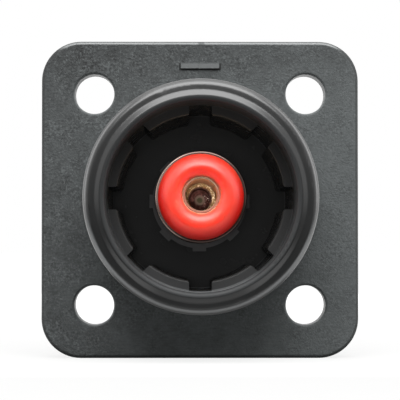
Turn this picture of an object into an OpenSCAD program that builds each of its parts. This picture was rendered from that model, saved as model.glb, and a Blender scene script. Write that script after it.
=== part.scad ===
// Single-pole panel receptacle of a battery cable connector.
// Modelled along the mating axis: z = 0 is the panel face of the flange, +z is the mating side and
// +y is the top. The finished pieces are turned so that the mating side faces -Y and the top is +Z.

/* [Flange] */
// Side of the square flange
flange_w = 36; // [34:0.5:50]
// Thickness of the flange
flange_t = 3; // [2.5:0.25:6]
// Corner radius of the flange outline
flange_corner_r = 4.5; // [2:0.25:7]
// Radius of the flange's front edge
flange_edge_r = 0.5; // [0.2:0.1:1]
// Spacing of the screw holes, both ways
hole_pitch = 24; // [23.5:0.25:28]
// Diameter of the screw holes
hole_d = 4.5; // [3.2:0.1:5]
// Radius of the rounded mouth of each screw hole
hole_mouth_r = 0.3; // [0.1:0.05:0.6]
// Length of the raised dash that marks the top
mark_w = 4.5; // [2:0.25:8]
// Height of the dash across the flange
mark_h = 0.75; // [0.4:0.05:1.5]
// Rise of the dash above the flange
mark_rise = 0.3; // [0.2:0.05:0.8]
// Corner radius of the dash
mark_corner_r = 0.2; // [0.05:0.05:0.2]
// Radius of the dash's upper edges
mark_edge_r = 0.15; // [0.05:0.05:0.2]
// Distance from the top edge of the flange to the middle of the dash
mark_inset = 2.8; // [2:0.1:3.2]

/* [Collar] */
// Outside diameter of the collar
collar_d = 25.5; // [24.5:0.1:27]
// Height of the collar above the flange
collar_h = 12.5; // [11.5:0.25:18]
// Radius of the collar's outer rim edge
collar_edge_r = 0.85; // [0.4:0.05:1]
// Radius of the rounded mouth of the socket
mouth_r = 0.5; // [0.3:0.05:0.8]
// Width of the flat crest of the lip round the mouth
crest_w = 0.12; // [0.05:0.01:0.2]
// Width of the slope outside that crest
slope_w = 0.55; // [0.3:0.05:0.7]
// Drop of the slope, from the crest to the ring outside it
slope_drop = 0.26; // [0.1:0.02:0.4]
// Further fall of that ring, from the slope to the rounded rim edge
ring_fall = 0.04; // [0.01:0.01:0.1]
// Radius of the fillet between collar and flange
collar_foot_r = 0.4; // [0.2:0.05:0.6]
// Width of the latch groove round the collar
latch_w = 2.6; // [1.5:0.1:4]
// Depth of the latch groove
latch_depth = 0.8; // [0.4:0.05:1]
// Height of the latch groove's lower edge above the flange
latch_rise = 5.2; // [3:0.1:6]

/* [Socket] */
// Inside diameter of the socket
socket_d = 20.6; // [20:0.1:21]
// Depth of the socket from the rim
socket_depth = 24; // [20:0.25:28]
// Number of keys on the socket wall
key_count = 8; // [4:1:10]
// Gap between neighbouring keys
key_gap = 2.5; // [1.5:0.1:3.2]
// Height of the keys inwards from the wall
key_h = 1.1; // [0.6:0.05:1.5]
// Depth of the keys' front faces below the rim
key_drop = 6.5; // [4:0.25:9]
// Corner radius of the keys
key_round_r = 0.45; // [0.2:0.05:0.6]
// Radius of the keys' inner front edge
key_edge_r = 0.25; // [0.1:0.05:0.4]
// Diameter of the boss round the foot of the pin
boss_d = 11.1; // [10.8:0.05:12.5]
// Height of the boss above the socket floor
boss_h = 2.9; // [1.5:0.1:5]
// Number of ribs on the boss
boss_rib_count = 8; // [3:1:8]
// Rise of the ribs above the boss
boss_rib_rise = 0.35; // [0.2:0.05:0.6]
// Width of the ribs
boss_rib_w = 1.6; // [0.8:0.1:2]

/* [Rear] */
// Diameter of the barrel behind the flange
barrel_d = 23.5; // [23:0.1:24]
// Thickness of the socket floor
floor_t = 4; // [3.5:0.25:6]
// Diameter of the rear neck
neck_d = 15; // [14:0.25:17]
// Length of the rear neck
neck_len = 6; // [5:0.25:10]
// Number of webs between neck and barrel
web_count = 6; // [3:1:8]
// Thickness of the webs
web_t = 1.4; // [0.8:0.1:2.2]
// Edge radius of the barrel and the neck
rear_edge_r = 0.5; // [0.2:0.05:0.8]

/* [Contact] */
// Diameter of the pin
pin_d = 10; // [9.6:0.05:10.5]
// Length of the pin from the boss to its metal end
pin_len = 19.2; // [14:0.1:21]
// Chamfer on the end of the pin
pin_chamfer = 0.4; // [0.1:0.05:0.45]
// Diameter of the shank in the housing
shank_d = 9; // [8.6:0.05:9.2]
// Width across the flats that stop the shank turning
flat_w = 7.9; // [7.6:0.05:8.4]
// Length of the flats
flat_len = 4.4; // [2:0.1:4.6]
// Diameter of the threaded stud
stud_d = 8; // [6:0.5:8]
// Length of the stud behind the neck
stud_len = 19.4; // [18.5:0.1:26]
// Chamfer on the end of the stud
stud_chamfer = 0.9; // [0.4:0.05:1.2]
// Diameter of the bore in the end of the pin
bore_d = 3.5; // [2.8:0.05:3.6]
// Depth of that bore
bore_depth = 8.5; // [5:0.25:11]
// Diameter of the pilot bore below it
pilot_d = 2.3; // [1.5:0.05:2.6]
// Depth of the pilot bore, from the mouth
pilot_depth = 14.5; // [12:0.25:16]

/* [Touch cap] */
// Diameter of the cap
cap_d = 9.2; // [9:0.05:9.3]
// Height of the cap above the pin's end
cap_h = 1.5; // [1.3:0.05:2]
// Wall of the tube that shows in the cap's hole
lip_wall = 0.25; // [0.2:0.05:0.4]
// Diameter of the barb that the cap snaps over
barb_d = 6.6; // [6:0.05:6.8]
// Depth of the undercut below the barb
barb_undercut = 0.25; // [0.1:0.05:0.4]
// Height of the undercut
barb_neck_h = 0.2; // [0.15:0.05:0.3]
// Height of the barb
barb_h = 0.2; // [0.15:0.05:0.25]
// Height of the tube's end above the cap where they meet
lip_rise = 0.05; // [0.02:0.01:0.1]

/* [Seals] */
// Cord diameter of the contact's seal, as fitted
ring_cord_d = 1.06; // [0.8:0.02:1.4]
// Room beside the cord in its groove
ring_side_room = 0.3; // [0.1:0.05:0.5]
// Width of the panel seal
seal_w = 1.6; // [1:0.05:1.8]
// Thickness of the panel seal, as fitted
seal_t = 1.2; // [0.8:0.05:1.6]
// Wall between the barrel and the seal groove
seal_inset = 0.5; // [0.3:0.05:0.6]

/* [Hardware] */
// Outside diameter of the flat washers
washer_d = 16; // [14:0.25:18]
// Thickness of the flat washers
washer_t = 1.6; // [1:0.1:2]
// Width across the flats of the nuts
nut_af = 13; // [12.5:0.25:15]
// Height of the thin clamp nut
clamp_nut_h = 4; // [3:0.25:4.5]
// Height of the terminal nut
terminal_nut_h = 6.5; // [5:0.25:7]
// Outside diameter of the spring washer
spring_d = 13.6; // [12.5:0.1:15]
// Thickness of the spring washer
spring_t = 2; // [1.5:0.1:2.2]
// Gap where the spring washer is split
spring_gap = 0.8; // [0.4:0.1:1.5]
// Slant of the split, in degrees
spring_slant = 25; // [0:1:40]
// Edge radius of the stamped washers
die_edge_r = 0.2; // [0.1:0.05:0.3]
// Depth of the countersinks of the nuts
nut_countersink = 0.5; // [0.2:0.05:0.8]
// Bevel angle of the nuts' corners
nut_bevel_angle = 30; // [15:1:40]

/* [Fits] */
// Radial clearance of the shank in the housing
shank_clear = 0.05; // [0.02:0.01:0.1]
// Clearance at the flats
flat_clear = 0.05; // [0.02:0.01:0.1]
// Radial clearance of nuts on the stud
thread_clear = 0.08; // [0.03:0.01:0.15]
// Radial clearance of washers on the stud
washer_clear = 0.2; // [0.1:0.05:0.4]
// Clearance between the cap and its spigot
cap_clear = 0.04; // [0.02:0.01:0.06]
// Clearance of a seal in its groove
seal_clear = 0.03; // [0.02:0.01:0.06]
// Set-back of the shank's shoulder from the back of the neck
shank_setback = 0.2; // [0.1:0.05:0.4]

/* [Hidden] */
$fn = 96;
// How far a cut or a joined piece runs past the face that it meets
lap = 1;
eps = 0.01;
flange_front_z = flange_t;
rim_z = flange_front_z + collar_h;
ring_z = rim_z - slope_drop;
crest_r = socket_d / 2 + mouth_r + crest_w;
floor_z = rim_z - socket_depth;
key_front_z = rim_z - key_drop;
// The keys reach into the wall as far as its middle
key_root_r = (socket_d + barrel_d) / 4;
boss_top_z = floor_z + boss_h;
barrel_back_z = floor_z - floor_t;
neck_back_z = barrel_back_z - neck_len;

pin_end_z = boss_top_z + pin_len;
shank_back_z = neck_back_z + shank_setback;
flat_front_z = shank_back_z + flat_len;
stud_end_z = neck_back_z - stud_len;
ring_groove_w = ring_cord_d + 2 * seal_clear + ring_side_room;
ring_mid_z = floor_z - floor_t / 2;
shank_bore_r = shank_d / 2 + shank_clear;
ring_mid_r = shank_bore_r - seal_clear - ring_cord_d / 2;
ring_groove_r = ring_mid_r - ring_cord_d / 2 - seal_clear;

// The cap's crown is an arc as wide as the cap's wall. It ends on the tube that shows in its hole.
lip_r = bore_d / 2 + lip_wall;
cap_tube_r = (cap_d / 2 - lip_r) / 2;
cap_mid_r = cap_d / 2 - cap_tube_r;
cap_crown_z = pin_end_z + cap_h;
cap_arc_z = cap_crown_z - cap_tube_r;
cap_hole_r = lip_r + cap_clear;
barb_r = barb_d / 2;
lip_top_z = cap_arc_z + sqrt(cap_tube_r ^ 2 - (cap_mid_r - cap_hole_r) ^ 2) + lip_rise;
lip_round_r = lip_wall / 3;
// Half the point angle of the drills that made the bores
drill_half_angle = 59;

seal_inner_r = barrel_d / 2 + seal_inset;
seal_outer_r = seal_inner_r + seal_w;
washer_r_in = stud_d / 2 + washer_clear;
nut_bore_r = stud_d / 2 + thread_clear;

clamp_washer_z = neck_back_z - washer_t;
clamp_nut_z = clamp_washer_z - clamp_nut_h;
lug_washer_z = clamp_nut_z - washer_t;
spring_washer_z = lug_washer_z - spring_t;
terminal_nut_z = spring_washer_z - terminal_nut_h;

plastic_black = [0.16, 0.17, 0.17];
copper_alloy = [0.80, 0.58, 0.36];
cap_red = [0.91, 0.24, 0.19];
rubber_grey = [0.24, 0.25, 0.26];
plated_steel = [0.75, 0.76, 0.77];

// Turns the mating axis to -Y and the top of the flange to +Z.
module as_fitted() {
  rotate([90, 0, 0]) children();
}

// What a convex corner at the origin loses to a radius. The corner points to +x and +y.
module corner_cut(r) {
  difference() {
    translate([-r, -r]) square(r + eps);
    translate([-r, -r]) circle(r);
  }
}

// Half section of a disc or tube between two radii and two heights, with rounded outer corners.
module tube_section(r_in, r_out, z_low, z_high, low_r, high_r) {
  difference() {
    translate([r_in, z_low]) square([r_out - r_in, z_high - z_low]);
    translate([r_out, z_high]) corner_cut(high_r);
    translate([r_out, z_low]) mirror([0, 1]) corner_cut(low_r);
  }
}

// Edge section of the flange: the outer corner on the mating side is rounded.
module flange_edge_section(depth) {
  difference() {
    square([depth, flange_t]);
    translate([depth, flange_t]) corner_cut(flange_edge_r);
  }
}

module flange_plate() {
  straight = flange_w - 2 * flange_corner_r;
  reach = straight / 2;
  translate([-reach, -reach, 0]) cube([straight, straight, flange_t]);
  for (turn = [0:90:270]) rotate(turn) {
    translate([reach, reach, 0]) rotate_extrude(angle = 90) flange_edge_section(flange_corner_r);
    translate([reach, reach, 0]) rotate([90, 0, 0]) linear_extrude(straight)
      flange_edge_section(flange_corner_r);
  }
}

module at_screw_holes() {
  for (x = [-1, 1], y = [-1, 1])
    translate([x * hole_pitch / 2, y * hole_pitch / 2, 0]) children();
}

// A through hole whose front edge is rounded outwards.
module screw_hole() {
  translate([0, 0, -lap]) cylinder(d = hole_d, h = flange_t + 2 * lap);
  rotate_extrude() difference() {
    translate([0, flange_t - hole_mouth_r]) square([hole_d / 2 + hole_mouth_r, lap]);
    translate([hole_d / 2 + hole_mouth_r, flange_t - hole_mouth_r]) circle(hole_mouth_r);
    translate([hole_d / 2 + hole_mouth_r, flange_t]) square(lap);
  }
}

// Outer half section of the collar: foot fillet, groove for the plug's latch, and the lip at the mouth.
module collar_section() {
  r = collar_d / 2;
  groove_z = flange_front_z + latch_rise;
  difference() {
    union() {
      tube_section(0, r, flange_front_z - lap, ring_z - ring_fall, eps, collar_edge_r);
      polygon([
        [0, ring_z - lap], [r - collar_edge_r, ring_z - lap], [r - collar_edge_r, ring_z - ring_fall],
        [crest_r + slope_w, ring_z], [crest_r, rim_z], [0, rim_z]
      ]);
      translate([0, flange_front_z - lap]) square([r + collar_foot_r, lap + collar_foot_r]);
    }
    translate([r + collar_foot_r, flange_front_z + collar_foot_r]) circle(collar_foot_r);
    translate([r - latch_depth, groove_z]) square([latch_depth + lap, latch_w]);
  }
}

// Half section of the empty socket, flared at the mouth by a convex radius.
module socket_section() {
  r = socket_d / 2;
  translate([0, floor_z]) square([r, socket_depth + lap]);
  difference() {
    translate([0, rim_z - mouth_r]) square([r + mouth_r, mouth_r + lap]);
    translate([r + mouth_r, rim_z - mouth_r]) circle(mouth_r);
    translate([r + mouth_r, rim_z]) square(2 * lap);
  }
}

// The two rounded corners of the keys beside one gap, as the material they lose.
module key_corner_cut() {
  r = socket_d / 2 - key_h;
  mid_r = r + key_round_r - eps;
  x = key_gap / 2 + key_round_r;
  y = sqrt(mid_r ^ 2 - x ^ 2);
  inward = (r - lap) / mid_r;
  for (side = [-1, 1]) scale([side, 1]) difference() {
    polygon([[x, y], [0, y], [0, y * inward], [x * inward, y * inward]]);
    translate([x, y]) circle(key_round_r);
  }
}

module socket_keys() {
  r = socket_d / 2 - key_h;
  height = key_front_z - floor_z;
  difference() {
    translate([0, 0, floor_z - lap]) rotate_extrude() difference() {
      translate([r, 0]) square([key_root_r - r, height + lap]);
      translate([r, height + lap]) mirror([1, 0]) corner_cut(key_edge_r);
    }
    for (turn = [0:360 / key_count:359]) rotate(turn)
      translate([0, 0, floor_z - 2 * lap]) linear_extrude(height + 3 * lap) {
        translate([-key_gap / 2, 0]) square([key_gap, socket_d / 2]);
        key_corner_cut();
      }
  }
}

module pin_boss() {
  translate([0, 0, floor_z - lap]) linear_extrude(boss_h + lap) {
    circle(d = boss_d);
    for (turn = [0:360 / boss_rib_count:359]) rotate(turn)
      translate([-boss_rib_w / 2, pin_d / 2]) square([boss_rib_w, boss_d / 2 + boss_rib_rise - pin_d / 2]);
  }
}

module rear_webs() {
  start = neck_d / 2 - lap;
  for (turn = [0:360 / web_count:359]) rotate(turn)
    translate([0, web_t / 2, 0]) rotate([90, 0, 0]) linear_extrude(web_t)
      polygon([
        [start, barrel_back_z + lap], [barrel_d / 2 - rear_edge_r, barrel_back_z + lap],
        [barrel_d / 2 - rear_edge_r, barrel_back_z], [neck_d / 2, neck_back_z + rear_edge_r],
        [start, neck_back_z + rear_edge_r]
      ]);
}

// Round bore for the shank and its seal, then two flats that stop the contact turning.
module contact_bore() {
  flat_front = flat_front_z - flat_clear;
  translate([0, 0, flat_front]) cylinder(r = shank_bore_r, h = boss_top_z - flat_front + lap);
  intersection() {
    translate([0, 0, neck_back_z - lap]) cylinder(r = shank_bore_r, h = flat_front - neck_back_z + lap);
    translate([-socket_d / 2, -flat_w / 2 - flat_clear, neck_back_z - lap])
      cube([socket_d, flat_w + 2 * flat_clear, flat_front - neck_back_z + lap]);
  }
}

module seal_groove() {
  translate([0, 0, -lap]) rotate_extrude() translate([seal_inner_r - seal_clear, 0])
    square([seal_w + 2 * seal_clear, seal_t + seal_clear + lap]);
}

// Plan of a rectangle with rounded corners, from its half width and half height.
module rounded_plan(half_w, half_h, r) {
  difference() {
    translate([-half_w, -half_h]) square([2 * half_w, 2 * half_h]);
    for (x = [0, 1], y = [0, 1]) mirror([x, 0]) mirror([0, y]) translate([half_w, half_h]) corner_cut(r);
  }
}

// Raised dash: its plan has rounded corners and its long upper edges are rounded.
module top_mark() {
  translate([0, flange_w / 2 - mark_inset, flange_front_z - eps]) intersection() {
    linear_extrude(mark_rise + 2 * eps) rounded_plan(mark_w / 2, mark_h / 2, mark_corner_r);
    translate([-mark_w / 2, 0, 0]) rotate([90, 0, 90]) linear_extrude(mark_w) difference() {
      translate([-mark_h / 2, 0]) square([mark_h, mark_rise + eps]);
      for (side = [0, 1]) mirror([side, 0])
        translate([mark_h / 2, mark_rise + eps]) corner_cut(mark_edge_r);
    }
  }
}

module housing() {
  color(plastic_black) difference() {
    union() {
      difference() {
        union() {
          flange_plate();
          rotate_extrude() collar_section();
          rotate_extrude() tube_section(0, barrel_d / 2, barrel_back_z, lap, rear_edge_r, eps);
        }
        rotate_extrude() socket_section();
        at_screw_holes() screw_hole();
      }
      socket_keys();
      pin_boss();
      rotate_extrude() tube_section(0, neck_d / 2, neck_back_z, barrel_back_z + lap, rear_edge_r, eps);
      rear_webs();
      top_mark();
    }
    contact_bore();
    seal_groove();
  }
}

// Half section of the turned contact, without its bores.
module contact_section() {
  difference() {
    union() {
      translate([0, boss_top_z]) square([pin_d / 2, pin_len]);
      translate([0, shank_back_z]) square([shank_d / 2, boss_top_z - shank_back_z + lap]);
      translate([0, stud_end_z]) square([stud_d / 2, shank_back_z - stud_end_z + lap]);
      translate([0, pin_end_z - lap]) square([barb_r - barb_undercut, barb_neck_h + lap + eps]);
      translate([0, pin_end_z + barb_neck_h]) square([barb_r, barb_h]);
      translate([0, pin_end_z]) square([lip_r, lip_top_z - pin_end_z]);
    }
    translate([ring_groove_r, ring_mid_z - ring_groove_w / 2]) square([shank_d, ring_groove_w]);
    translate([pin_d / 2, pin_end_z]) polygon([[-pin_chamfer, 0], [lap, 0], [lap, -lap], [0, -pin_chamfer]]);
    translate([stud_d / 2, stud_end_z])
      polygon([[-stud_chamfer, 0], [0, stud_chamfer], [lap, lap], [lap, 0]]);
    translate([lip_r, lip_top_z]) corner_cut(lip_round_r);
  }
}

// Half section of a drilled hole from z_mouth down, with the drill's point below its depth.
module drilled_section(r, z_mouth, depth) {
  point_h = r / tan(drill_half_angle);
  polygon([
    [0, z_mouth + lap], [r, z_mouth + lap], [r, z_mouth - depth], [0, z_mouth - depth - point_h]
  ]);
}

module contact_pin() {
  color(copper_alloy) difference() {
    rotate_extrude() contact_section();
    rotate_extrude() drilled_section(bore_d / 2, lip_top_z, bore_depth);
    rotate_extrude() drilled_section(pilot_d / 2, lip_top_z, pilot_depth);
    for (side = [0, 180]) rotate(side)
      translate([-shank_d, flat_w / 2, shank_back_z - eps]) cube([2 * shank_d, shank_d, flat_len + eps]);
  }
}

// Half section of the cap: a round crown over a snap seat for the barb.
module cap_section() {
  seat_r = barb_r + cap_clear;
  neck_r = barb_r - barb_undercut + cap_clear;
  difference() {
    union() {
      translate([cap_hole_r, pin_end_z]) square([cap_d / 2 - cap_hole_r, cap_arc_z - pin_end_z]);
      translate([cap_mid_r, cap_arc_z]) circle(cap_tube_r);
    }
    translate([0, pin_end_z - cap_h]) square([cap_hole_r, 2 * cap_h]);
    translate([0, pin_end_z - cap_h]) square([cap_d, cap_h]);
    translate([0, pin_end_z - eps]) square([neck_r, barb_neck_h + eps]);
    translate([0, pin_end_z + barb_neck_h - cap_clear]) square([seat_r, barb_h + 2 * cap_clear]);
  }
}

module touch_cap() {
  color(cap_red) rotate_extrude() cap_section();
}

module contact_seal() {
  color(rubber_grey) translate([0, 0, ring_mid_z]) rotate_extrude()
    translate([ring_mid_r, 0]) circle(d = ring_cord_d);
}

module panel_seal() {
  color(rubber_grey) rotate_extrude() translate([seal_inner_r, 0]) square([seal_w, seal_t]);
}

// Flat washer with the slightly rounded edges of a stamped one. z is its rear face.
module flat_washer(z) {
  color(plated_steel) rotate_extrude()
    tube_section(washer_r_in, washer_d / 2, z, z + washer_t, die_edge_r, die_edge_r);
}

// Hexagon nut with both ends bevelled. z is its rear face.
module hex_nut(z, height) {
  corner_r = nut_af / 2 / cos(30);
  bevel_h = (corner_r - nut_af / 2) * tan(nut_bevel_angle);
  color(plated_steel) translate([0, 0, z]) difference() {
    intersection() {
      cylinder(r = corner_r, h = height, $fn = 6);
      rotate_extrude() polygon([
        [0, 0], [nut_af / 2, 0], [corner_r + eps, bevel_h], [corner_r + eps, height - bevel_h],
        [nut_af / 2, height], [0, height]
      ]);
    }
    translate([0, 0, -lap]) cylinder(r = nut_bore_r, h = height + 2 * lap);
    for (end = [0, 1]) translate([0, 0, end * height]) mirror([0, 0, end])
      rotate_extrude() polygon([
        [0, -eps], [nut_bore_r + nut_countersink + eps, -eps], [nut_bore_r, nut_countersink],
        [0, nut_countersink]
      ]);
  }
}

module clamp_washer() {
  flat_washer(clamp_washer_z);
}

module clamp_nut() {
  hex_nut(clamp_nut_z, clamp_nut_h);
}

module lug_washer() {
  flat_washer(lug_washer_z);
}

// Split spring washer, drawn flat as it is when tightened. The split runs at a slant.
module spring_washer() {
  color(plated_steel) translate([0, 0, spring_washer_z]) difference() {
    rotate_extrude() tube_section(washer_r_in, spring_d / 2, 0, spring_t, die_edge_r, die_edge_r);
    translate([0, 0, spring_t / 2]) rotate([0, spring_slant, 0])
      translate([-spring_gap / 2, 0, -spring_t]) cube([spring_gap, spring_d, 2 * spring_t]);
  }
}

module terminal_nut() {
  hex_nut(terminal_nut_z, terminal_nut_h);
}

as_fitted() housing();
as_fitted() contact_pin();
as_fitted() touch_cap();
as_fitted() contact_seal();
as_fitted() panel_seal();
as_fitted() clamp_washer();
as_fitted() clamp_nut();
as_fitted() lug_washer();
as_fitted() spring_washer();
as_fitted() terminal_nut();
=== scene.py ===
import math

import bpy
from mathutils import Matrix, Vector


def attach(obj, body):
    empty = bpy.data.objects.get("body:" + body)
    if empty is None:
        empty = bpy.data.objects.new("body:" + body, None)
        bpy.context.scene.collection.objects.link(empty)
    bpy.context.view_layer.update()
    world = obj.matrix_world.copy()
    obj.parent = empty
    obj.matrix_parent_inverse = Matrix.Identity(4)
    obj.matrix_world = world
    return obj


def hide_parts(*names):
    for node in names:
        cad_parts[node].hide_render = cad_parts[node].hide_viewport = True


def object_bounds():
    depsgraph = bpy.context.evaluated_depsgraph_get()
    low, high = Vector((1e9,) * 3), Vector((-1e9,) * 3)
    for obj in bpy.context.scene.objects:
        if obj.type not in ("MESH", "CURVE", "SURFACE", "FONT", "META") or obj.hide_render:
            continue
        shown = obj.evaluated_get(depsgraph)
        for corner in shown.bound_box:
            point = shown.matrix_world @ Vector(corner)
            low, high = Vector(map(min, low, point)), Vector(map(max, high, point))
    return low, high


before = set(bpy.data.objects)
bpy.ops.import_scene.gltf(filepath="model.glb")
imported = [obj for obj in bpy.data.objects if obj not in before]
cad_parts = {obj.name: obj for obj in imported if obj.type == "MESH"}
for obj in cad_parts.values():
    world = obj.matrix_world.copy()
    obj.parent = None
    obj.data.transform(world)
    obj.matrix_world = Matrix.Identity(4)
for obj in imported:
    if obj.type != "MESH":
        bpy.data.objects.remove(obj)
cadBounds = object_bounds()
mm = 0.001
print("frame loaded:", ", ".join(sorted(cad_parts)))


# camera: just below and left of the mating axis, as in the photo
cameraSettings = {
    "target": (0.0, -3.0, -0.06),  # mm, middle of the flange's front
    "distance": 215.0,  # mm
    "azimuth": -0.5,
    "elevation": -1.5,
    "lens": 170.35,
    "sensor": 36.0,
    "clip": (0.01, 20.0),  # m
}


def deselectAll():
    if bpy.context.object and bpy.context.object.mode == "EDIT":
        bpy.ops.object.mode_set(mode="OBJECT")
    bpy.ops.object.select_all(action="DESELECT")


def wayTo(azimuth, elevation):  # from the object, with the front at azimuth 0
    a, e = math.radians(azimuth), math.radians(elevation)
    return Vector((math.sin(a) * math.cos(e), -math.cos(a) * math.cos(e), math.sin(e)))


def lookBack(thing, way):
    thing.rotation_euler = (-way).to_track_quat("-Z", "Y").to_euler()


def placeCamera(s):
    deselectAll()
    back = wayTo(s["azimuth"], s["elevation"])
    target = Vector(s["target"]) * mm
    bpy.ops.object.camera_add(location=target + back * s["distance"] * mm)
    camera = bpy.context.object
    camera.name = "photoCamera"
    lookBack(camera, back)
    camera.data.lens = s["lens"]
    camera.data.sensor_width = s["sensor"]
    camera.data.clip_start, camera.data.clip_end = s["clip"]
    bpy.context.scene.camera = camera


placeCamera(cameraSettings)
print("camera placed")


# shader maths: a Wire is one output socket, and expressions on Wires add Math nodes
class Wire:
    def __init__(self, tree, socket=None):
        self.tree = tree
        self.socket = socket

    def node(self, kind, settings=None, inputs=None, out=0):
        made = self.tree.nodes.new(kind)
        for name, value in (settings or {}).items():
            setattr(made, name, value)
        for key, value in (inputs or {}).items():
            if isinstance(value, Wire):
                self.tree.links.new(value.socket, made.inputs[key])
            else:
                made.inputs[key].default_value = value
        return Wire(self.tree, made.outputs[out] if made.outputs else None)

    def maths(self, operation, *values):
        return self.node("ShaderNodeMath", {"operation": operation}, dict(enumerate(values)))

    def __add__(self, other): return self.maths("ADD", self, other)
    def __radd__(self, other): return self.maths("ADD", other, self)
    def __sub__(self, other): return self.maths("SUBTRACT", self, other)
    def __rsub__(self, other): return self.maths("SUBTRACT", other, self)
    def __mul__(self, other): return self.maths("MULTIPLY", self, other)
    def __rmul__(self, other): return self.maths("MULTIPLY", other, self)
    def __pow__(self, other): return self.maths("POWER", self, other)
    def __abs__(self): return self.maths("ABSOLUTE", self)

    def step(self, low, high):  # 0 below low, 1 above high, smooth between
        return self.node("ShaderNodeMapRange", {"interpolation_type": "SMOOTHSTEP"},
                         {0: self, 1: low, 2: high, 3: 0.0, 4: 1.0})

    def between(self, low, high, soft):  # 1 between two values
        return self.step(low - soft, low + soft) * (1.0 - self.step(high - soft, high + soft))

    def blend(self, a, b):  # colour a where this is 0, colour b where it is 1
        return self.node("ShaderNodeMix", {"data_type": "RGBA"}, {0: self, 6: a, 7: b}, 2)

    def noise(self, scale, detail=2.0, roughness=0.5):
        return self.node("ShaderNodeTexNoise", None, {
            "Vector": self, "Scale": scale, "Detail": detail, "Roughness": roughness})

    def bump(self, distance):
        return self.node("ShaderNodeBump", None, {"Height": self, "Distance": distance, "Strength": 1.0})


def startPaint(name):
    paint = bpy.data.materials.new(name)
    paint.use_nodes = True
    tree = paint.node_tree
    tree.nodes.clear()
    start = Wire(tree)
    place = start.node("ShaderNodeTexCoord", None, None, "Object")
    place = start.node("ShaderNodeVectorMath", {"operation": "SCALE"}, {0: place, "Scale": 1.0 / mm})
    return paint, place, *(start.node("ShaderNodeSeparateXYZ", None, {0: place}, axis) for axis in "XYZ")


def finishPaint(place, inputs):
    shader = place.node("ShaderNodeBsdfPrincipled", None, inputs)
    place.node("ShaderNodeOutputMaterial", None, {"Surface": shader})


# floor, backdrop and lights
stageSettings = {
    "floorSize": 12.0,  # m
    "floorColour": (0.16, 0.16, 0.158, 1.0),
    "glowNear": 0.80,  # the floor's glow for the camera; reflections see 1
    "glowFar": 1.0,
    "glowRange": (0.05, 0.20),  # m from the object
    # where reflections show the floor darker: front, back and side in mm, share
    "shade": ((-16.5, -14.5), (38.0, 44.0), (18.0, 24.0), 0.85),  # below the part
    "strip": ((-36.0, -34.0), (-21.0, -19.0), (8.0, 11.0), 0.7),  # before the socket
    "worldFill": 0.05,
    # a dim card in reflections, on the floor before the camera and upright behind it
    "flagCorner": (0.20, -0.27, 0.15),  # m: half width, y of its back, height of its top
    "flagStart": -0.034,  # m
    "flagLift": 0.5,  # mm above the floor
    "flagLevel": (0.08, 0.32),  # on the floor, upright
    "flagRise": (-17.4, -10.0),  # mm: z between the two levels
    # narrow spots from beside the camera into the pin's bore: name, place in mm, watts
    "boreSpots": (("boreSpotLow", (-6.0, -230.0, -14.0), 3.0), ("boreSpotHigh", (5.0, -230.0, 14.0), 1.1)),
    "boreAim": {"to": (0.0, -11.0, 0.0), "cone": 1.3, "blend": 0.4, "radius": 2.0},
    "lights": {
        # name: azimuth, elevation, distance m, size m, watts
        "keyLight": (0.0, 48.0, 0.26, (0.24, 0.20), 0.90),
        "topLight": (0.0, 86.0, 0.26, (0.30, 0.16), 0.26),
        "leftLight": (-85.0, 24.0, 0.26, (0.14, 0.30), 0.34),
        "rightLight": (85.0, 24.0, 0.26, (0.14, 0.30), 0.38),
        "frontFill": (-2.0, -2.0, 0.25, (0.03, 0.01), 0.06),
        "backLight": (180.0, 11.0, 0.30, (0.30, 0.18), 0.42),
    },
    "unmirrored": ("frontFill", "backLight"),  # lamps that reflections don't show
}


def addLamp(name, kind, start, way, watts, mirrored):
    bpy.ops.object.light_add(type=kind, location=start)
    lamp = bpy.context.object
    lamp.name = name
    lookBack(lamp, way)
    lamp.data.energy = watts
    lamp.visible_camera = False
    lamp.visible_glossy = mirrored
    return lamp.data


def lightFrom(name, azimuth, elevation, distance, size, watts, mirrored):
    way = wayTo(azimuth, elevation)
    lamp = addLamp(name, "AREA", way * distance, way, watts, mirrored)
    lamp.shape = "RECTANGLE"
    lamp.size, lamp.size_y = size


def spotInto(name, start, watts, s):
    way = (Vector(start) - Vector(s["to"])) * mm
    lamp = addLamp(name, "SPOT", Vector(start) * mm, way, watts, False)
    lamp.spot_size = math.radians(s["cone"])
    lamp.spot_blend = s["blend"]
    lamp.shadow_soft_size = s["radius"] * mm


def seenRays(start):
    camera, glossy, clear = [start.node("ShaderNodeLightPath", None, None, "Is %s Ray" % kind)
                             for kind in ("Camera", "Glossy", "Transmission")]
    return camera, start.maths("MAXIMUM", glossy, clear)


def selectEdges(piece, test):  # leaves the piece in edit mode; test takes a point in mm
    bpy.context.view_layer.objects.active = piece
    bpy.ops.object.mode_set(mode="EDIT")
    bpy.ops.mesh.select_mode(type="EDGE")
    bpy.ops.mesh.select_all(action="DESELECT")
    bpy.ops.object.mode_set(mode="OBJECT")
    on = [test(v.co / mm) for v in piece.data.vertices]
    for edge in piece.data.edges:
        edge.select = all(on[v] for v in edge.vertices)
    bpy.ops.object.mode_set(mode="EDIT")


def backToObject():
    bpy.ops.mesh.select_mode(type="VERT")
    bpy.ops.object.mode_set(mode="OBJECT")


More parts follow.
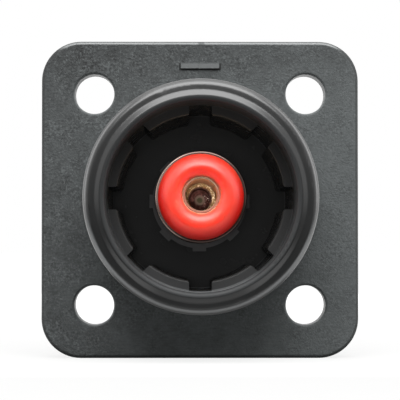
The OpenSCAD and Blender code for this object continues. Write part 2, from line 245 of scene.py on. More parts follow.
def makeFloor(s):
    deselectAll()
    bpy.ops.mesh.primitive_plane_add(size=s["floorSize"], location=(0, 0, cadBounds[0].z))
    floor = bpy.context.object
    floor.name = "paleFloor"
    bpy.ops.object.transform_apply(location=True, rotation=True, scale=True)
    paint, place, x, y, z = startPaint("floorPaint")
    away = (x * x + y * y) ** 0.5 * mm
    glow = s["glowNear"] + (s["glowFar"] - s["glowNear"]) * away.step(*s["glowRange"])
    dark = 0.0
    for front, back, side, share in (s["shade"], s["strip"]):
        dark = dark + y.step(*front) * (1.0 - y.step(*back)) * (1.0 - abs(x).step(*side)) * share
    camera, mirrored = seenRays(place)
    strength = camera * glow + mirrored * (1.0 - dark)
    matt = place.node("ShaderNodeBsdfDiffuse", None, {"Color": s["floorColour"]})
    lit = place.node("ShaderNodeEmission", None, {"Color": strength, "Strength": 1.0})
    both = place.node("ShaderNodeAddShader", None, {0: matt, 1: lit})
    place.node("ShaderNodeOutputMaterial", None, {"Surface": both})
    floor.data.materials.append(paint)


def makeFlag(s):
    deselectAll()
    half, back, top = s["flagCorner"]
    low = cadBounds[0].z + s["flagLift"] * mm
    bpy.ops.mesh.primitive_plane_add(size=1.0, location=(0, (s["flagStart"] + back) / 2, low))
    flag = bpy.context.object
    flag.name = "cameraFlag"
    flag.scale = (2 * half, s["flagStart"] - back, 1.0)
    bpy.ops.object.transform_apply(location=True, rotation=True, scale=True)
    selectEdges(flag, lambda point: point.y < back / mm + 1.0)
    bpy.ops.mesh.extrude_region_move(TRANSFORM_OT_translate={"value": (0, 0, top - low)})
    backToObject()
    flag.visible_camera = False
    flag.visible_shadow = False
    paint, place, x, y, z = startPaint("flagCloth")
    low, high = s["flagLevel"]
    level = low + (high - low) * z.step(*s["flagRise"])
    dim = place.node("ShaderNodeEmission", None, {"Color": level, "Strength": 1.0})
    place.node("ShaderNodeOutputMaterial", None, {"Surface": dim})
    flag.data.materials.append(paint)


def lightStage(s):
    world = bpy.data.worlds.new("studio")
    bpy.context.scene.world = world
    world.use_nodes = True
    tree = world.node_tree
    tree.nodes.clear()
    start = Wire(tree)
    camera, mirrored = seenRays(start)
    strength = s["worldFill"] + (camera + mirrored) * (1.0 - s["worldFill"])
    light = start.node("ShaderNodeBackground", None, {"Color": strength, "Strength": 1.0})
    start.node("ShaderNodeOutputWorld", None, {"Surface": light})
    for name, values in s["lights"].items():
        lightFrom(name, *values, name not in s["unmirrored"])
    for name, stand, watts in s["boreSpots"]:
        spotInto(name, stand, watts, s["boreAim"])


makeFloor(stageSettings)
makeFlag(stageSettings)
lightStage(stageSettings)
bpy.context.scene.view_settings.view_transform = "Standard"
print("stage lit")


# modelling helpers
def takeOver(piece, nodes, paint):
    piece.data.materials.clear()
    piece.data.materials.append(paint)
    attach(piece, "root")
    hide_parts(*nodes)


def applyModifier(piece, kind, settings):
    bpy.context.view_layer.objects.active = piece
    change = piece.modifiers.new(kind.lower(), kind)
    for name, value in settings.items():
        setattr(change, name, value)
    bpy.ops.object.modifier_apply(modifier=change.name)


def cleanMesh(piece, angle, merge=0.0005 * mm):
    deselectAll()
    bpy.context.view_layer.objects.active = piece
    piece.select_set(True)
    bpy.ops.object.mode_set(mode="EDIT")
    bpy.ops.mesh.select_all(action="SELECT")
    bpy.ops.mesh.remove_doubles(threshold=merge)
    bpy.ops.mesh.normals_make_consistent(inside=False)
    bpy.ops.object.mode_set(mode="OBJECT")
    bpy.ops.object.shade_smooth_by_angle(angle=math.radians(angle))


def flattenFaces(piece):  # large flat faces keep their own normal beside fillets
    applyModifier(piece, "WEIGHTED_NORMAL", {"mode": "FACE_AREA", "weight": 100, "keep_sharp": True})


def dressedCopy(nodeName, pieceName, angle, bevel=None):
    deselectAll()
    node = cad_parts[nodeName]
    mesh = node.data.copy()
    mesh.transform(node.matrix_world)
    piece = bpy.data.objects.new(pieceName, mesh)
    bpy.context.scene.collection.objects.link(piece)
    bpy.context.view_layer.objects.active = piece
    bpy.ops.mesh.customdata_custom_splitnormals_clear()
    cleanMesh(piece, angle)
    if bevel:
        bpy.ops.object.mode_set(mode="EDIT")
        bpy.ops.mesh.select_all(action="SELECT")
        bpy.ops.mesh.dissolve_limited(angle_limit=math.radians(1.0))
        bpy.ops.object.mode_set(mode="OBJECT")
        applyModifier(piece, "BEVEL", {"width": bevel * mm, "segments": 2, "limit_method": "ANGLE",
                                       "angle_limit": math.radians(25), "harden_normals": False})
        cleanMesh(piece, angle)
    flattenFaces(piece)
    return piece


def roundCorners(corners, steps=5):
    # corners are (radius, y) or (radius, y, fillet); a fillet becomes an arc of points
    points = []
    for i, corner in enumerate(corners):
        here = Vector(corner[:2])
        fillet = corner[2] if len(corner) > 2 else 0.0
        if not fillet:
            points.append(here)
            continue
        before = (Vector(corners[i - 1][:2]) - here).normalized()
        after = (Vector(corners[(i + 1) % len(corners)][:2]) - here).normalized()
        half = before.angle(after) / 2
        reach = fillet / math.tan(half)
        middle = here + (before + after).normalized() * fillet / math.sin(half)
        start, end = here + before * reach - middle, here + after * reach - middle
        sweep = start.angle_signed(end)
        for n in range(steps + 1):
            turn = -sweep * n / steps
            points.append(middle + Vector((start.x * math.cos(turn) - start.y * math.sin(turn),
                                           start.x * math.sin(turn) + start.y * math.cos(turn))))
    return points


def drawProfile(name, points):
    # one vertex, extruded from point to point in the plane of x and y
    deselectAll()
    bpy.ops.mesh.primitive_plane_add(size=mm)
    piece = bpy.context.object
    piece.name = name
    bpy.ops.object.mode_set(mode="EDIT")
    bpy.ops.mesh.select_all(action="SELECT")
    bpy.ops.mesh.merge(type="CENTER")
    bpy.ops.transform.translate(value=(points[0][0] * mm, points[0][1] * mm, 0))
    for last, point in zip(points, points[1:]):
        way = ((point[0] - last[0]) * mm, (point[1] - last[1]) * mm, 0)
        bpy.ops.mesh.extrude_region_move(TRANSFORM_OT_translate={"value": way})
    bpy.ops.object.mode_set(mode="OBJECT")
    return piece


def lathe(name, points, steps, angle=30.0):
    piece = drawProfile(name, points)
    bpy.ops.object.mode_set(mode="EDIT")
    bpy.ops.mesh.select_all(action="SELECT")
    bpy.ops.mesh.spin(steps=steps, angle=2 * math.pi, center=(0, 0, 0), axis=(0, 1, 0))
    bpy.ops.object.mode_set(mode="OBJECT")
    cleanMesh(piece, angle)
    return piece


def combine(piece, other, operation):
    deselectAll()
    applyModifier(piece, "BOOLEAN", {"operation": operation, "object": other, "solver": "EXACT"})
    bpy.data.objects.remove(other, do_unlink=True)


# black housing: spark-textured flange, polished collar, plain socket; zones are ranges in mm
housingSettings = {
    "smoothAngle": 20.0,
    "rims": ((10.92, -15.5, 0.10), (11.47, -15.24, 0.10)),  # radius, y, softening
    "rimNear": 0.01,
    "flangeColour": (0.0934, 0.1020, 0.1030, 1),
    # dark of the grain and of the painted shade on the flange
    "grainAndShadeColour": (0.02, 0.021, 0.021, 1),
    # pale of the specks, also the painted highlight on the top rim and the painted reflection in the holes
    "speckAndHighlightColour": (0.145, 0.156, 0.157, 1),
    "collarColour": (0.007, 0.0074, 0.0075, 1),
    "lowEdgeHighlightColour": (0.125, 0.131, 0.133, 1),  # painted highlight: paler lower edge of the collar, as in the photo
    "socketColour": (0.044, 0.0445, 0.045, 1),
    "wallColour": (0.085, 0.088, 0.090, 1),
    # painted light: the socket's lower wall is paler
    "litLowWallColour": (0.17, 0.175, 0.178, 1),
    "mouthColour": (0.034, 0.036, 0.037, 1),
    # painted shade on the keys at the sides
    "sideKeyShadeColour": (0.01, 0.01, 0.01, 1),
    "bossColour": (0.17, 0.168, 0.170, 1),
    "markColour": (0.13, 0.137, 0.138, 1),
    # painted shadow round the dash
    "dashShadowColour": (0.012, 0.0125, 0.0125, 1),
    "edgeColour": (0.012, 0.013, 0.013, 1),  # narrow sides of the flange
    "flangeFrom": (12.9, 13.2),  # from the axis
    "socketUpTo": (10.80, 10.95),
    "wallFrom": (10.18, 10.26),
    "mouthFrom": (-15.1, -14.85),  # y
    "litLowWall": (-10.0, -7.0),  # z below which the wall is painted paler: painted light
    "lowEdgeHighlight": ((12.24, 12.58, 0.1), (-14.6, -14.3), (-6.0, -1.0)),  # painted highlight: radius, y, z
    "shadedSideKeys": ((4.5, 8.0), (-8.9, -8.6), 0.35),  # painted shade on the keys at the sides: x, y, share
    "boss": ((5.9, 6.0), (5.2, 5.4), (5.7, 5.8)),  # radius, y of its start and end
    "roughness": (0.31, 0.62, 0.52),  # collar, flange, socket
    "roughChange": 0.10,
    "deepSocket": ((-9.2, -8.6), 0.26),  # y, smoother by
    "gloss": (0.8, 0.0, 0.12),  # coat on the same three
    "edgeGloss": (11.75, 12.05, 1.0),  # stronger on the collar's outer edge
    "coat": (0.28, 1.56),  # roughness, IOR
    "ior": 1.36,
    "grain": (4.5, 0.08),  # per mm, height in mm
    "collarGrain": 0.03,  # share of it off the flange
    "patches": (0.42, (0.42, 0.62), 0.35, 0.7),  # per mm, range, least grain, more in patches
    "specks": (3.6, (0.63, 0.73), 0.45),  # per mm, range, share
    "clouds": (0.55, 0.7),  # per mm, share
    "streaks": ((0.9, 1.0, 5.0), 0.6),  # per mm along x, y and z, share
    "evenBottom": ((-15.5, -11.5), (8.0, 12.0), 0.6),  # z, x, share of the grain that is lost
    "paintedShadeDrift": (0.274, 0.0125, (11.0, 17.0), 0.28),  # darker all over, and painted shade: more per mm to the left and towards the top
    "partingLine": (-0.11, (0.05, 0.14), (12.6, 13.0), 0.6),  # x, half width, z, height
    "mark": (2.25, 15.2, 0.375),  # half width, z, half height of the dash
    "markTop": ((-0.14, -0.06), (-3.12, -3.06), 0.7),  # from its edge, y, less grain
    # painted shadow round the dash's sides and bottom: from the dash's edge, z from its middle, y, share
    "dashShadow": ((-0.06, 0.12, 0.05), (0.25, 0.4), (-2.95, -2.9), 0.9),
    "sides": ((16.2, 16.5), (-2.985, -2.95), (-0.3, -0.1), 0.6),  # x or z, y of front and back, share
    "hole": ((-2.95, -0.25, 0.03), 0.7, 0.15, 0.3),  # y, share of the painted reflection on the wall, smoother by, coat
    "topRim": ((16.8, 17.5), (-2.84, -2.76), 0.6, 0.34),  # z, y, share of the painted highlight, smoother by
    "notch": (0.15, (0.25, 0.4), 0.35),  # x, half width, share of the rim left in it
}


def zones(onFlange, inSocket, values):
    collar, flange, socket = values
    return collar + onFlange * (flange - collar) + inSocket * (socket - collar)


def paintHousing(s):
    paint, place, x, y, z = startPaint("housingPlastic")
    radius = (x * x + z * z) ** 0.5
    onFlange = radius.step(*s["flangeFrom"])
    inSocket = 1.0 - radius.step(*s["socketUpTo"])
    onWall = radius.step(*s["wallFrom"])

    # socket: floor and keys, wall with its mouth, boss
    pastMouth = y.step(*s["mouthFrom"])
    wall = pastMouth.blend(s["mouthColour"], s["wallColour"])
    # painted light: the wall's lower part is paler
    wall = ((1.0 - z.step(*s["litLowWall"])) * pastMouth).blend(wall, s["litLowWallColour"])
    inside = onWall.blend(s["socketColour"], wall)
    # painted shade: the keys at the sides are darker
    across, face, share = s["shadedSideKeys"]
    inside = (abs(x).step(*across) * (1.0 - y.step(*face)) * share).blend(inside, s["sideKeyShadeColour"])
    reach, front, back = s["boss"]
    onBoss = (1.0 - radius.step(*reach)) * y.step(*front) * (1.0 - y.step(*back))

    # collar and flange
    # painted highlight on the lower part of the collar's outer edge
    ring, front, up = s["lowEdgeHighlight"]
    lowEdgeHighlight = radius.between(*ring) * (1.0 - y.step(*front)) * (1.0 - z.step(*up))
    base = onFlange.blend(lowEdgeHighlight.blend(s["collarColour"], s["lowEdgeHighlightColour"]), s["flangeColour"])
    base = onBoss.blend(inSocket.blend(base, inside), s["bossColour"])

    # grain of the flange, in patches, with clouds, streaks and specks, and painted shade to the left and
    # towards the top
    grain = place.noise(s["grain"][0], 3.0, 0.65)
    up, across, lost = s["evenBottom"]
    even = onFlange * (1.0 - lost * (1.0 - z.step(*up)) * (1.0 - abs(x).step(*across)))
    scale, ends, least, more = s["patches"]
    patch = even * (least + more * place.noise(scale, 3.0, 0.6).step(*ends))
    scale, cloudShare = s["clouds"]
    cloud = place.noise(scale, 3.0, 0.55) - 0.5
    scale, streakShare = s["streaks"]
    stretched = place.node("ShaderNodeVectorMath", {"operation": "MULTIPLY"}, {0: place, 1: scale})
    streak = stretched.noise(1.0, 2.0, 0.5) - 0.5
    # painted shade: the flange darker to the left and towards the top
    start, slope, up, more = s["paintedShadeDrift"]
    paintedShadeDrift = start - x * slope + z.step(*up) * more
    shade = patch * (0.5 - grain) * 2.0 + onFlange * (cloud * cloudShare + streak * streakShare + paintedShadeDrift)
    base = shade.blend(base, s["grainAndShadeColour"])
    base = (patch * (grain - 0.5) * 2.0).blend(base, s["speckAndHighlightColour"])
    scale, ends, share = s["specks"]
    base = (place.noise(scale, 1.0, 0.5).step(*ends) * even * share).blend(base, s["speckAndHighlightColour"])

    # raised dash, with a painted shadow round its sides and bottom
    wide, middle, high = s["mark"]
    off = x.maths("MAXIMUM", abs(x) - wide, abs(z - middle) - high)
    edge, face, lessGrain = s["markTop"]
    onMark = (1.0 - off.step(*edge)) * (1.0 - y.step(*face))
    base = onMark.blend(base, s["markColour"])
    edge, up, face, share = s["dashShadow"]
    dashShadow = off.between(*edge) * (1.0 - z.step(middle + up[0], middle + up[1])) * (1.0 - y.step(*face))
    base = (dashShadow * share).blend(base, s["dashShadowColour"])

    # sides of the flange, its holes and the rim on its top; the top rim is painted paler (painted highlight)
    # and so are the holes' walls (painted reflection)
    out, front, back, sideShare = s["sides"]
    outside = x.maths("MAXIMUM", abs(x), abs(z)).step(*out)
    onEdge = outside * y.step(*front) * (1.0 - y.step(*back))
    up, face, rimHighlightShare, rimSmooth = s["topRim"]
    at, ends, left = s["notch"]
    onRim = onEdge * z.step(*up) * (1.0 - y.step(*face)) * (left + (1.0 - left) * abs(x - at).step(*ends))
    depth, holeReflectionShare, holeSmooth, holeCoat = s["hole"]
    inHole = onFlange * (1.0 - outside) * y.between(*depth)
    base = ((onEdge - onRim) * sideShare).blend(base, s["edgeColour"])
    base = (onRim * rimHighlightShare).blend(base, s["speckAndHighlightColour"])
    base = (inHole * holeReflectionShare).blend(base, s["speckAndHighlightColour"])

    face, smoother = s["deepSocket"]
    rough = zones(onFlange, inSocket, s["roughness"]) + cloud * s["roughChange"]
    rough = rough - inSocket * y.step(*face) * smoother - onRim * rimSmooth - inHole * holeSmooth
    start, end, most = s["edgeGloss"]
    gloss = zones(onFlange, inSocket, s["gloss"]) * (1.0 - inSocket * onWall)
    gloss = gloss + radius.step(start, end) * (1.0 - onFlange) * (most - s["gloss"][0])
    gloss = gloss + onRim + inHole * holeCoat
    at, ends, up, high = s["partingLine"]
    line = (1.0 - abs(x - at).step(*ends)) * z.step(*up)
    height = grain * (even * (1.0 - onMark * lessGrain - inHole) + s["collarGrain"]) + line * high
    finishPaint(place, {
        "Base Color": base, "Roughness": rough, "IOR": s["ior"], "Coat Weight": gloss,
        "Coat Roughness": s["coat"][0], "Coat IOR": s["coat"][1], "Normal": height.bump(s["grain"][1] * mm)})
    return paint


def softenRims(piece, rims, near):
    for radius, y, width in rims:
        deselectAll()
        selectEdges(piece, lambda p: abs(math.hypot(p.x, p.z) - radius) < near and abs(p.y - y) < near)
        bpy.ops.mesh.bevel(offset=width * mm, segments=4, affect="EDGES", clamp_overlap=True)
        backToObject()


def makeHousing(s):
    piece = dressedCopy("housing", "housingMoulding", s["smoothAngle"])
    softenRims(piece, s["rims"], s["rimNear"])
    cleanMesh(piece, s["smoothAngle"])
    flattenFaces(piece)
    return piece


housing = makeHousing(housingSettings)
takeOver(housing, ["housing"], paintHousing(housingSettings))
print("housing dressed:", len(housing.data.polygons), "faces")


# contact: turned from the tip of its pilot bore round to the end of its stud, then a rolled thread
contactSettings = {
    "steps": 128,
    "bore": (1.75, -14.17, -5.67),  # mm: radius, mouth, bottom
    "pilot": (1.15, -5.309, 0.33, 1.021),  # radius, top, bottom, point
    "ridgePitch": 0.42,
    "ridgeHeight": 0.035,
    "ridgeRise": 0.3,  # share of the pitch
    "ridgeFree": 0.4,  # mm without ridges at the mouth
    "fillets": (0.05, 0.08),  # mm: pilot's top, bore's mouth
    "outside": [
        (2.0, -14.17, 0.08), (2.0, -14.0), (3.3, -14.0, 0.05), (3.3, -13.8), (3.05, -13.8), (3.05, -13.6),
        (5.0, -13.6, 0.24), (5.0, 5.6, 0.15), (4.5, 5.6), (4.5, 9.79), (3.43, 9.79),
        (3.43, 11.21), (4.5, 11.21), (4.5, 18.3, 0.2), (3.2, 18.3), (0.0, 18.3),
    ],
    "flats": (3.95, 13.9, 18.4),  # mm: half width, from, to
    "flatCutter": (12, 4),  # mm: width, height
    # mm, with rootFlat and flank as shares of the pitch
    "thread": {"pitch": 1.25, "crest": 3.98, "root": 3.32, "from": 17.0, "to": 37.9, "short": 0.02,
               "chamfer": 0.9, "steps": 64, "rootFlat": 0.25, "flank": 0.3125},
    "lean": (0.04, 0.22),  # mm, across and up: the tube's end is off the axis in the photo
    "leanUpTo": 2.05,  # mm from the axis
    "paint": {
        "colour": ((0.71, 0.50, 0.315, 1), (0.82, 0.59, 0.38, 1)),
        "boreColour": (0.97, 0.70, 0.48, 1),
        "lipColour": (0.22, 0.09, 0.06, 1),
        "edgeColour": ((0.11, 0.075, 0.066, 1), (0.55, 0.41, 0.36, 1)),  # right, left: painted light, paler on the left
        "pilotColour": ((0.028, 0.024, 0.011, 1), (0.085, 0.055, 0.042, 1)),  # point, round it
        "smearColour": ((0.03, 0.010, 0.007, 1), (0.085, 0.032, 0.026, 1)),
        "glintColour": (0.55, 0.47, 0.42, 1),
        "goldColour": ((0.10, 0.05, 0.016, 1), (0.36, 0.21, 0.08, 1)),
        # painted glints on the gold ledge
        "paintedGlintColour": (0.80, 0.62, 0.42, 1),
        "bore": ((1.95, 2.05), (2.0, 3.0)),  # mm: radius, y of its end
        "bottom": (-5.75, -5.65),  # y
        "lip": (-14.08, -13.98),
        "edge": ((4.5, 4.6), (-13.15, -13.0), (1.0, 5.0)),  # radius, y, x over which the edge turns paler to the left: painted light
        "rings": ((0.24, 0.4), (0.48, 0.66), (1.28, 1.42)),  # radius where pilot ring, smear and gold start
        "smears": (3.2, (0.45, 0.65)),  # per mm, range
        "glints": (8.0, (0.66, 0.71), (0.3, 0.6)),  # painted glints: per mm, range, x from which they show on the right
        "lines": (48.0, 1.6, 9.0, (-1.8, 0.6), 0.35),  # radians per mm, wander per mm and size; x over which the ledge is painted lighter to the right, least share on the left: painted light
        "paintedGlints": (7.0, 0.04, 0.02, (0.58, 0.68)),  # painted glints: per mm, more per mm to the right and up, range
        "ridges": (21.0, 0.8, 4.0, 26.0, 0.7),  # radians per mm of y, wander; per mm of radius, share
        "ridgeHeight": 0.0015,  # mm
        "clouds": 0.9,  # per mm
        "roughness": (0.24, 0.1, 0.28),  # outside, change, more in the bore
        "boreMetal": 0.9,  # share of metal lost in the bore
    },
}


def leanEnd(piece, share):  # share takes a radius and a y in mm
    across, up = contactSettings["lean"]
    for vertex in piece.data.vertices:
        part = share(math.hypot(vertex.co.x, vertex.co.z) / mm, vertex.co.y / mm)
        part = min(1.0, max(0.0, part))
        part = part * part * (3 - 2 * part)
        vertex.co.x += across * part * mm
        vertex.co.z += up * part * mm


def cutFlats(piece, s):
    half, low, high = s["flats"]
    wide, paintedRedShade = s["flatCutter"]
    for side in (1, -1):
        deselectAll()
        bpy.ops.mesh.primitive_cube_add(size=1.0)
        cutter = bpy.context.object
        cutter.scale = (wide * mm, (high - low) * mm, paintedRedShade * mm)
        cutter.location = (0, (low + high) / 2 * mm, side * (half + paintedRedShade / 2) * mm)
        bpy.ops.object.transform_apply(location=True, rotation=True, scale=True)
        combine(piece, cutter, "DIFFERENCE")


def makeThread(t):
    crest, root, pitch = t["crest"], t["root"], t["pitch"]
    flank, flat = pitch * t["flank"], pitch * t["rootFlat"]
    start = t["from"] - 2 * pitch
    outline = [(root, start), (root, start + flat), (crest, start + flat + flank),
               (crest, start + pitch - flank), (root, start + pitch)]
    piece = drawProfile("studThread", outline)
    turns = math.ceil((t["to"] - start) / pitch) + 2
    applyModifier(piece, "SCREW", {
        "axis": "Y", "screw_offset": pitch * mm, "iterations": turns, "steps": t["steps"],
        "render_steps": t["steps"], "use_merge_vertices": True, "merge_threshold": 0.001 * mm})
    cleanMesh(piece, 25.0)
    for end, outer in ((t["from"], False), (t["to"] - t["short"], True)):
        bpy.ops.object.mode_set(mode="EDIT")
        bpy.ops.mesh.select_all(action="SELECT")
        bpy.ops.mesh.bisect(plane_co=(0, end * mm, 0), plane_no=(0, 1, 0), use_fill=True,
                            clear_outer=outer, clear_inner=not outer, threshold=0.0001 * mm)
        bpy.ops.object.mode_set(mode="OBJECT")
    cleanMesh(piece, 25.0)
    bar = lathe("studBar", [(0.0, t["from"] - 1), (5.0, t["from"] - 1), (5.0, t["to"] - t["chamfer"] - 1.0),
                            (4.0 - t["chamfer"], t["to"]), (0.0, t["to"])], 64)
    combine(piece, bar, "INTERSECT")
    return piece


def makeContact(s):
    radius, mouth, bottom = s["bore"]
    small, top, low, point = s["pilot"]
    pilotFillet, mouthFillet = s["fillets"]
    corners = [(0.0, point), (small, low), (small, top, pilotFillet), (radius, bottom)]
    count = int((bottom - mouth - s["ridgeFree"]) / s["ridgePitch"])
    for n in range(count):
        here = bottom - (n + 0.5) * s["ridgePitch"]
        corners += [(radius, here + s["ridgeRise"] * s["ridgePitch"]), (radius - s["ridgeHeight"], here)]
    corners += [(radius, mouth, mouthFillet)] + s["outside"]
    piece = lathe("contactTurned", roundCorners(corners, 4), s["steps"])
    cutFlats(piece, s)
    combine(piece, makeThread(s["thread"]), "UNION")
    cleanMesh(piece, 30.0, 0.0002 * mm)
    leanEnd(piece, lambda out, y: (bottom - y) / (bottom - mouth) if out < s["leanUpTo"] else 0.0)
    return piece


def paintBrass(s):
    paint, place, x, y, z = startPaint("contactBrass")
    radius = (x * x + z * z) ** 0.5
    reach, end = s["bore"]
    inBore = (1.0 - radius.step(*reach)) * (1.0 - y.step(*end))
    cloud = place.noise(s["clouds"], 3.0)
    base = inBore.blend(cloud.blend(*s["colour"]), s["boreColour"])

    # bottom of the bore: pilot hole, brown smear with painted glints on its right, gold ledge with turned
    # lines and painted glints, painted lighter to the right
    ring, smearFrom, goldFrom = s["rings"]
    bottom = radius.step(*ring).blend(*s["pilotColour"])
    scale, ends = s["smears"]
    smear = place.noise(scale, 2.0).step(*ends).blend(*s["smearColour"])
    scale, ends, litToRight = s["glints"]
    smear = (place.noise(scale, 1.0).step(*ends) * x.step(*litToRight)).blend(smear, s["glintColour"])
    bottom = radius.step(*smearFrom).blend(bottom, smear)
    turn, scale, wander, litToRight, least = s["lines"]
    lines = radius.maths("SINE", radius * turn + place.noise(scale) * wander)
    gold = (lines * 0.5 + 0.5) * (least + (1.0 - least) * x.step(*litToRight))
    scale, across, up, ends = s["paintedGlints"]
    goldGlint = (place.noise(scale, 1.0) + x * across + z * up).step(*ends)
    gold = goldGlint.blend(gold.blend(*s["goldColour"]), s["paintedGlintColour"])
    bottom = radius.step(*goldFrom).blend(bottom, gold)
    base = (y.step(*s["bottom"]) * inBore).blend(base, bottom)

    # the pin's edge: painted light, paler to the left and darker to the right
    reach, face, left = s["edge"]
    onEdge = radius.step(*reach) * (1.0 - y.step(*face))
    base = onEdge.blend(base, (0.0 - x).step(*left).blend(*s["edgeColour"]))
    base = (inBore * (1.0 - y.step(*s["lip"]))).blend(base, s["lipColour"])
    rough, change, more = s["roughness"]
    rough = rough + (cloud - 0.5) * change + inBore * more
    along, scale, wander, around, share = s["ridges"]
    turned = y.maths("SINE", y * along + place.noise(scale) * wander)
    turned = turned + share * radius.maths("SINE", radius * around)
    finishPaint(place, {"Base Color": base, "Metallic": 1.0 - inBore * s["boreMetal"], "Roughness": rough,
                        "Normal": turned.bump(s["ridgeHeight"] * mm)})
    return paint


contact = makeContact(contactSettings)
takeOver(contact, ["contact_pin"], paintBrass(contactSettings["paint"]))
print("contact turned:", len(contact.data.polygons), "faces")


# red touch cap: a ring with a round crown over the barb
capSettings = {
    "steps": 128,
    "crown": (3.07, -15.1),  # mm: radius and y of the highest ring
    "outer": ((30, 1.05), (48, 3.0), (72, 1.63)),  # arcs: to this slope in degrees, radius in mm
    "inner": ((85, 1.03),),
    "holeRadius": 2.04,
    "crownSteps": 12,
    "seat": [(2.04, -14.04), (3.34, -14.04), (3.34, -13.76), (3.09, -13.76), (3.09, -13.6), (4.66, -13.6)],
    "leanFrom": 4.4,  # mm from the axis
    "colour": ((0.84, 0.041, 0.017, 1), (0.90, 0.051, 0.022, 1)),
    # painted shade: deeper red
    "shadeRedColour": (0.88, 0.014, 0.006, 1),
    "edgeColour": (0.95, 0.16, 0.10, 1),  # paler round the hole: painted highlight
    "shadeOutside": ((3.6, 4.2), (0.0, 3.0)),  # painted shade low on the outer slope: mm: radius, z
    "shadeInside": ((2.3, 2.8), (0.8, 1.8)),  # painted shade high on the inner slope: from the hole's middle, z
    "litHoleEdge": ((2.0, 2.35), (0.5, 1.5), 0.6),  # painted highlight: the same two, share lost at the top
    "clouds": 0.7,  # per mm
    "roughness": (0.42, 0.06),  # middle, change
    "grain": (5.0, 0.003),  # per mm, height in mm
    "coat": (0.95, 0.75, (3.4, 4.0), (-1.5, 1.5), 0.38),  # weight, less low outside: radius, z; roughness
    "ior": 1.42,
    "glow": (0.8, 1.0),  # light under the skin: weight, reach in mm
}


def crownSide(crown, arcs, side, steps):
    # from the crown down one side, arc after arc, each starting at the slope where the last one ends
    (out, y), slope = crown, 0.0
    points = [crown]
    for end, radius in arcs:
        end = math.radians(end)
        for n in range(steps):
            later = slope + (end - slope) / (steps - n)
            out += side * radius * (math.sin(later) - math.sin(slope))
            y += radius * (math.cos(slope) - math.cos(later))
            slope = later
            points.append((out, y))
    return points


def makeCap(s):
    outer = crownSide(s["crown"], s["outer"], 1, s["crownSteps"])
    inner = crownSide(s["crown"], s["inner"], -1, s["crownSteps"])
    points = outer[::-1] + inner[1:] + s["seat"]
    piece = lathe("capRing", points + [points[0]], s["steps"])
    leanEnd(piece, lambda out, y: (s["leanFrom"] - out) / (s["leanFrom"] - s["holeRadius"]))
    return piece


def paintCap(s):
    paint, place, x, y, z = startPaint("capRed")
    cloud = place.noise(s["clouds"], 2.0)
    across, up = contactSettings["lean"]
    fromHole = ((x - across) ** 2.0 + (z - up) ** 2.0) ** 0.5
    radius = (x * x + z * z) ** 0.5
    # painted shade: deeper red low on the outer slope and high on the inner slope
    out, high = s["shadeOutside"]
    paintedRedShade = radius.step(*out) * (1.0 - z.step(*high))
    out, high = s["shadeInside"]
    paintedRedShade = paintedRedShade + (1.0 - fromHole.step(*out)) * z.step(*high)
    base = paintedRedShade.blend(cloud.blend(*s["colour"]), s["shadeRedColour"])
    # painted highlight: paler round the hole, less at its top
    out, high, lost = s["litHoleEdge"]
    base = ((1.0 - fromHole.step(*out)) * (1.0 - z.step(*high) * lost)).blend(base, s["edgeColour"])
    middle, change = s["roughness"]
    scale, height = s["grain"]
    weight, less, out, high, coatRough = s["coat"]
    finishPaint(place, {
        "Base Color": base, "Roughness": middle + (cloud - 0.5) * change, "IOR": s["ior"],
        "Normal": place.noise(scale, 2.0).bump(height * mm),
        "Coat Weight": weight - less * radius.step(*out) * (1.0 - z.step(*high)), "Coat Roughness": coatRough,
        "Subsurface Weight": s["glow"][0], "Subsurface Scale": s["glow"][1] * mm})
    return paint


cap = makeCap(capSettings)
takeOver(cap, ["touch_cap"], paintCap(capSettings))
print("cap turned:", len(cap.data.polygons), "faces")


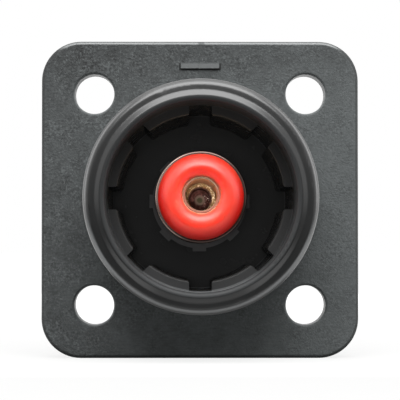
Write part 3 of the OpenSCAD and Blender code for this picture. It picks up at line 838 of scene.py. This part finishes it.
# rubber seals
sealSettings = {
    "panel": [(12.25, -1.2, 0.2), (13.85, -1.2, 0.2), (13.85, -0.2, 0.15), (13.45, 0.0, 0.2),
              (13.05, -0.22, 0.15), (12.65, 0.0, 0.2), (12.25, -0.2, 0.15)],  # mm: radius, y, fillet
    "panelSteps": 128,
    "contact": (3.99, 10.5, 0.53),  # mm: middle radius, y, cord radius
    "contactSteps": (24, 96),  # round the cord, round the axis
    "colour": ((0.035, 0.036, 0.038, 1), (0.055, 0.056, 0.058, 1)),
    "clouds": (1.5, 3.0, 0.5),  # per mm, detail, roughness
    "roughness": (0.62, 0.15),  # middle, change
    "grain": (8.0, 0.006),  # per mm, height in mm
}


def paintEven(name, s, metal):  # one clouded colour with a fine grain
    paint, place, x, y, z = startPaint(name)
    cloud = place.noise(*s["clouds"])
    middle, change = s["roughness"]
    scale, height = s["grain"]
    finishPaint(place, {
        "Base Color": cloud.blend(*s["colour"]), "Metallic": metal,
        "Roughness": middle + (cloud - 0.5) * change, "Normal": place.noise(scale, 2.0).bump(height * mm)})
    return paint


rubber = paintEven("sealRubber", sealSettings, 0.0)
points = roundCorners(sealSettings["panel"], 4)
panelSeal = lathe("panelSealRing", points + [points[0]], sealSettings["panelSteps"])
takeOver(panelSeal, ["panel_seal"], rubber)
middle, height, cord = sealSettings["contact"]
around, steps = sealSettings["contactSteps"]
turns = [2 * math.pi * n / around for n in range(around + 1)]
points = [(middle + cord * math.cos(t), height + cord * math.sin(t)) for t in turns]
contactSeal = lathe("contactSealRing", points, steps)
takeOver(contactSeal, ["contact_seal"], rubber)
print("seals turned")


# zinc plated washers and nuts
hardwareSettings = {
    "pieces": (  # node, piece, bevel in mm
        ("clamp_washer", "clampWasherRing", None),
        ("lug_washer", "lugWasherRing", None),
        ("spring_washer", "springWasherRing", None),
        ("clamp_nut", "clampNutHex", 0.12),
        ("terminal_nut", "terminalNutHex", 0.12),
    ),
    "smoothAngle": 30.0,
    "colour": ((0.46, 0.464, 0.462, 1), (0.60, 0.603, 0.598, 1)),
    "clouds": (0.6, 4.0, 0.6),  # per mm, detail, roughness
    "roughness": (0.38, 0.25),  # middle, change
    "grain": (9.0, 0.004),  # per mm, height in mm
}
zinc = paintEven("zincSteel", hardwareSettings, 1.0)
for nodeName, pieceName, bevel in hardwareSettings["pieces"]:
    piece = dressedCopy(nodeName, pieceName, hardwareSettings["smoothAngle"], bevel)
    takeOver(piece, [nodeName], zinc)
    print(pieceName, len(piece.data.polygons), "faces")
